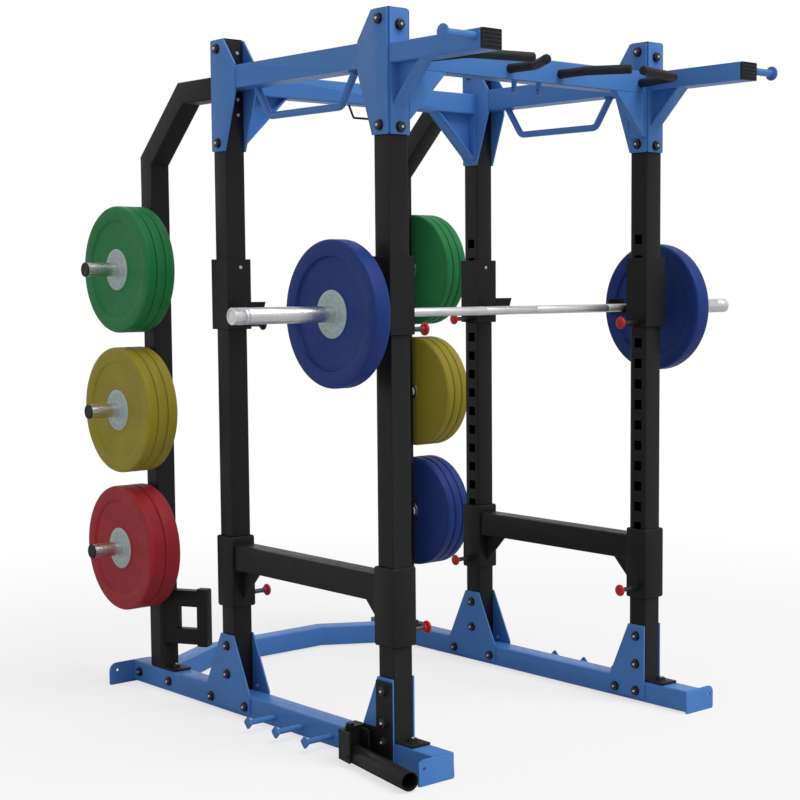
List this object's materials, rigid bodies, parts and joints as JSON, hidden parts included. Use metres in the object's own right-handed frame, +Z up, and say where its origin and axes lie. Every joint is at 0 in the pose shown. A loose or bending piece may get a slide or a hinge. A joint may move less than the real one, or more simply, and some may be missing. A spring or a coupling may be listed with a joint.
{
  "type": "power rack",
  "caption": "Square-tube power rack with a loaded barbell on hooks, spotter beams, stored weight plates, pull-up grips and a landmine.",
  "frame": {"origin": "on the floor, under the middle of the overall box", "axes": "+Z up; -Y is the front, where the barbell and the arms are; +X is the rack's right side as seen from the front"},
  "size_m": [2.2, 2.029, 2.313],
  "materials": {
    "blue_paint": "satin",
    "black_paint": "satin",
    "steel": "polished",
    "red_knob": "gloss",
    "grip_rubber": "matte",
    "green_rubber": "matte",
    "yellow_rubber": "matte",
    "red_rubber": "matte",
    "blue_rubber": "matte"
  },
  "bodies": {
    "frame": {"bar_holder": "black_paint", "base_gusset_front_left_inner": "blue_paint", "base_gusset_front_left_outer": "blue_paint", "base_gusset_front_right_inner": "blue_paint", "base_gusset_front_right_outer": "blue_paint", "base_gusset_rear_left_inner": "blue_paint", "base_gusset_rear_left_outer": "blue_paint", "base_gusset_rear_right_inner": "blue_paint", "base_gusset_rear_right_outer": "blue_paint", "base_rail_left": "blue_paint", "base_rail_right": "blue_paint", "cross_beam_loop": "black_paint", "front_arm_left": "blue_paint", "front_arm_right": "blue_paint", "hoop_handle_left": "blue_paint", "hoop_handle_right": "blue_paint", "landmine_bracket": "black_paint", "pull_up_beam": "blue_paint", "pull_up_grip_inner_left": "grip_rubber", "pull_up_grip_inner_right": "grip_rubber", "pull_up_grip_outer_left": "grip_rubber", "pull_up_grip_outer_right": "grip_rubber", "rear_cross_beam": "blue_paint", "rear_cross_member": "blue_paint", "side_beam_left": "blue_paint", "side_beam_right": "blue_paint", "storage_upright_left": "black_paint", "storage_upright_right": "black_paint", "upright_front_left": "black_paint", "upright_front_right": "black_paint", "upright_rear_left": "black_paint", "upright_rear_right": "black_paint"},
    "bar_plate_left": {"bar_plate_left": "blue_rubber"},
    "bar_plate_right": {"bar_plate_right": "blue_rubber"},
    "bar_shaft": {"bar_shaft": "steel"},
    "bar_sleeve_left": {"bar_sleeve_left": "steel"},
    "bar_sleeve_right": {"bar_sleeve_right": "steel"},
    "j_hook_front_left": {"j_hook_front_left": "black_paint"},
    "j_hook_front_right": {"j_hook_front_right": "black_paint"},
    "j_hook_pin_front_left": {"j_hook_pin_front_left": "red_knob"},
    "j_hook_pin_front_right": {"j_hook_pin_front_right": "red_knob"},
    "j_hook_pin_rear_left": {"j_hook_pin_rear_left": "black_paint"},
    "j_hook_pin_rear_right": {"j_hook_pin_rear_right": "red_knob"},
    "j_hook_rear_left": {"j_hook_rear_left": "black_paint"},
    "j_hook_rear_right": {"j_hook_rear_right": "black_paint"},
    "landmine_tube": {"landmine_tube": "black_paint"},
    "landmine_yoke": {"landmine_yoke": "black_paint"},
    "spotter_beam_left": {"spotter_beam_left": "black_paint"},
    "spotter_beam_right": {"spotter_beam_right": "black_paint"},
    "spotter_pin_front_left": {"spotter_pin_front_left": "red_knob"},
    "spotter_pin_front_right": {"spotter_pin_front_right": "red_knob"},
    "spotter_pin_rear_left": {"spotter_pin_rear_left": "red_knob"},
    "spotter_pin_rear_right": {"spotter_pin_rear_right": "red_knob"},
    "stored_plates_left_low": {"stored_plates_left_low": "red_rubber"},
    "stored_plates_left_middle": {"stored_plates_left_middle": "yellow_rubber"},
    "stored_plates_left_top": {"stored_plates_left_top": "green_rubber"},
    "stored_plates_right_low": {"stored_plates_right_low": "blue_rubber"},
    "stored_plates_right_middle": {"stored_plates_right_middle": "yellow_rubber"},
    "stored_plates_right_top": {"stored_plates_right_top": "green_rubber"}
  },
  "joints": [
    {"name": "j_hook_front_left_height", "type": "slide", "parent": "frame", "child": "j_hook_front_left", "axis": [0, 0, 1], "range_m": [-0.432, 0.288]},
    {"name": "j_hook_rear_left_height", "type": "slide", "parent": "frame", "child": "j_hook_rear_left", "axis": [0, 0, 1], "range_m": [-0.432, 0.288]},
    {"name": "j_hook_front_right_height", "type": "slide", "parent": "frame", "child": "j_hook_front_right", "axis": [0, 0, 1], "range_m": [-0.432, 0.288]},
    {"name": "j_hook_rear_right_height", "type": "slide", "parent": "frame", "child": "j_hook_rear_right", "axis": [0, 0, 1], "range_m": [-0.432, 0.288]},
    {"name": "spotter_beam_left_height", "type": "slide", "parent": "frame", "child": "spotter_beam_left", "axis": [0, 0, 1], "range_m": [-0.072, 0.216]},
    {"name": "spotter_beam_right_height", "type": "slide", "parent": "frame", "child": "spotter_beam_right", "axis": [0, 0, 1], "range_m": [-0.072, 0.216]},
    {"name": "j_hook_pin_front_left_push", "type": "slide", "parent": "j_hook_front_left", "child": "j_hook_pin_front_left", "axis": [-1, 0, 0], "range_m": [0, 0.012]},
    {"name": "spotter_pin_front_left_push", "type": "slide", "parent": "spotter_beam_left", "child": "spotter_pin_front_left", "axis": [-1, 0, 0], "range_m": [0, 0.012]},
    {"name": "j_hook_pin_rear_left_push", "type": "slide", "parent": "j_hook_rear_left", "child": "j_hook_pin_rear_left", "axis": [-1, 0, 0], "range_m": [0, 0.012]},
    {"name": "spotter_pin_rear_left_push", "type": "slide", "parent": "spotter_beam_left", "child": "spotter_pin_rear_left", "axis": [-1, 0, 0], "range_m": [0, 0.012]},
    {"name": "j_hook_pin_front_right_push", "type": "slide", "parent": "j_hook_front_right", "child": "j_hook_pin_front_right", "axis": [1, 0, 0], "range_m": [0, 0.012]},
    {"name": "spotter_pin_front_right_push", "type": "slide", "parent": "spotter_beam_right", "child": "spotter_pin_front_right", "axis": [1, 0, 0], "range_m": [0, 0.012]},
    {"name": "j_hook_pin_rear_right_push", "type": "slide", "parent": "j_hook_rear_right", "child": "j_hook_pin_rear_right", "axis": [1, 0, 0], "range_m": [0, 0.012]},
    {"name": "spotter_pin_rear_right_push", "type": "slide", "parent": "spotter_beam_right", "child": "spotter_pin_rear_right", "axis": [1, 0, 0], "range_m": [0, 0.012]},
    {"name": "bar_lift", "type": "slide", "parent": "j_hook_front_left", "child": "bar_shaft", "axis": [0, 0, 1], "range_m": [0, 0.25]},
    {"name": "bar_sleeve_left_spin", "type": "hinge", "parent": "bar_shaft", "child": "bar_sleeve_left", "pos_m": [-0.655, -0.4785, 1.401], "axis": [1, 0, 0], "continuous": true},
    {"name": "bar_plate_left_slide", "type": "slide", "parent": "bar_sleeve_left", "child": "bar_plate_left", "axis": [-1, 0, 0], "range_m": [0, 0.42]},
    {"name": "stored_plates_left_top_slide", "type": "slide", "parent": "frame", "child": "stored_plates_left_top", "axis": [-1, 0, 0], "range_m": [0, 0.24]},
    {"name": "stored_plates_left_middle_slide", "type": "slide", "parent": "frame", "child": "stored_plates_left_middle", "axis": [-1, 0, 0], "range_m": [0, 0.24]},
    {"name": "stored_plates_left_low_slide", "type": "slide", "parent": "frame", "child": "stored_plates_left_low", "axis": [-1, 0, 0], "range_m": [0, 0.24]},
    {"name": "bar_sleeve_right_spin", "type": "hinge", "parent": "bar_shaft", "child": "bar_sleeve_right", "pos_m": [0.655, -0.4785, 1.401], "axis": [1, 0, 0], "continuous": true},
    {"name": "bar_plate_right_slide", "type": "slide", "parent": "bar_sleeve_right", "child": "bar_plate_right", "axis": [1, 0, 0], "range_m": [0, 0.42]},
    {"name": "stored_plates_right_top_slide", "type": "slide", "parent": "frame", "child": "stored_plates_right_top", "axis": [1, 0, 0], "range_m": [0, 0.24]},
    {"name": "stored_plates_right_middle_slide", "type": "slide", "parent": "frame", "child": "stored_plates_right_middle", "axis": [1, 0, 0], "range_m": [0, 0.24]},
    {"name": "stored_plates_right_low_slide", "type": "slide", "parent": "frame", "child": "stored_plates_right_low", "axis": [1, 0, 0], "range_m": [0, 0.24]},
    {"name": "landmine_swivel", "type": "hinge", "parent": "frame", "child": "landmine_yoke", "pos_m": [-0.664, -0.4475, 0.064], "axis": [0, 0, -1], "range_deg": [0, 70]},
    {"name": "landmine_tilt", "type": "hinge", "parent": "landmine_yoke", "child": "landmine_tube", "pos_m": [-0.67234, -0.49477, 0.035], "axis": [-0.9848, 0.1736, 0], "range_deg": [0, 75]}
  ],
  "couplings": [
    {"joint": "j_hook_front_right_height", "follows": "j_hook_front_left_height", "ratio": 1}
  ]
}
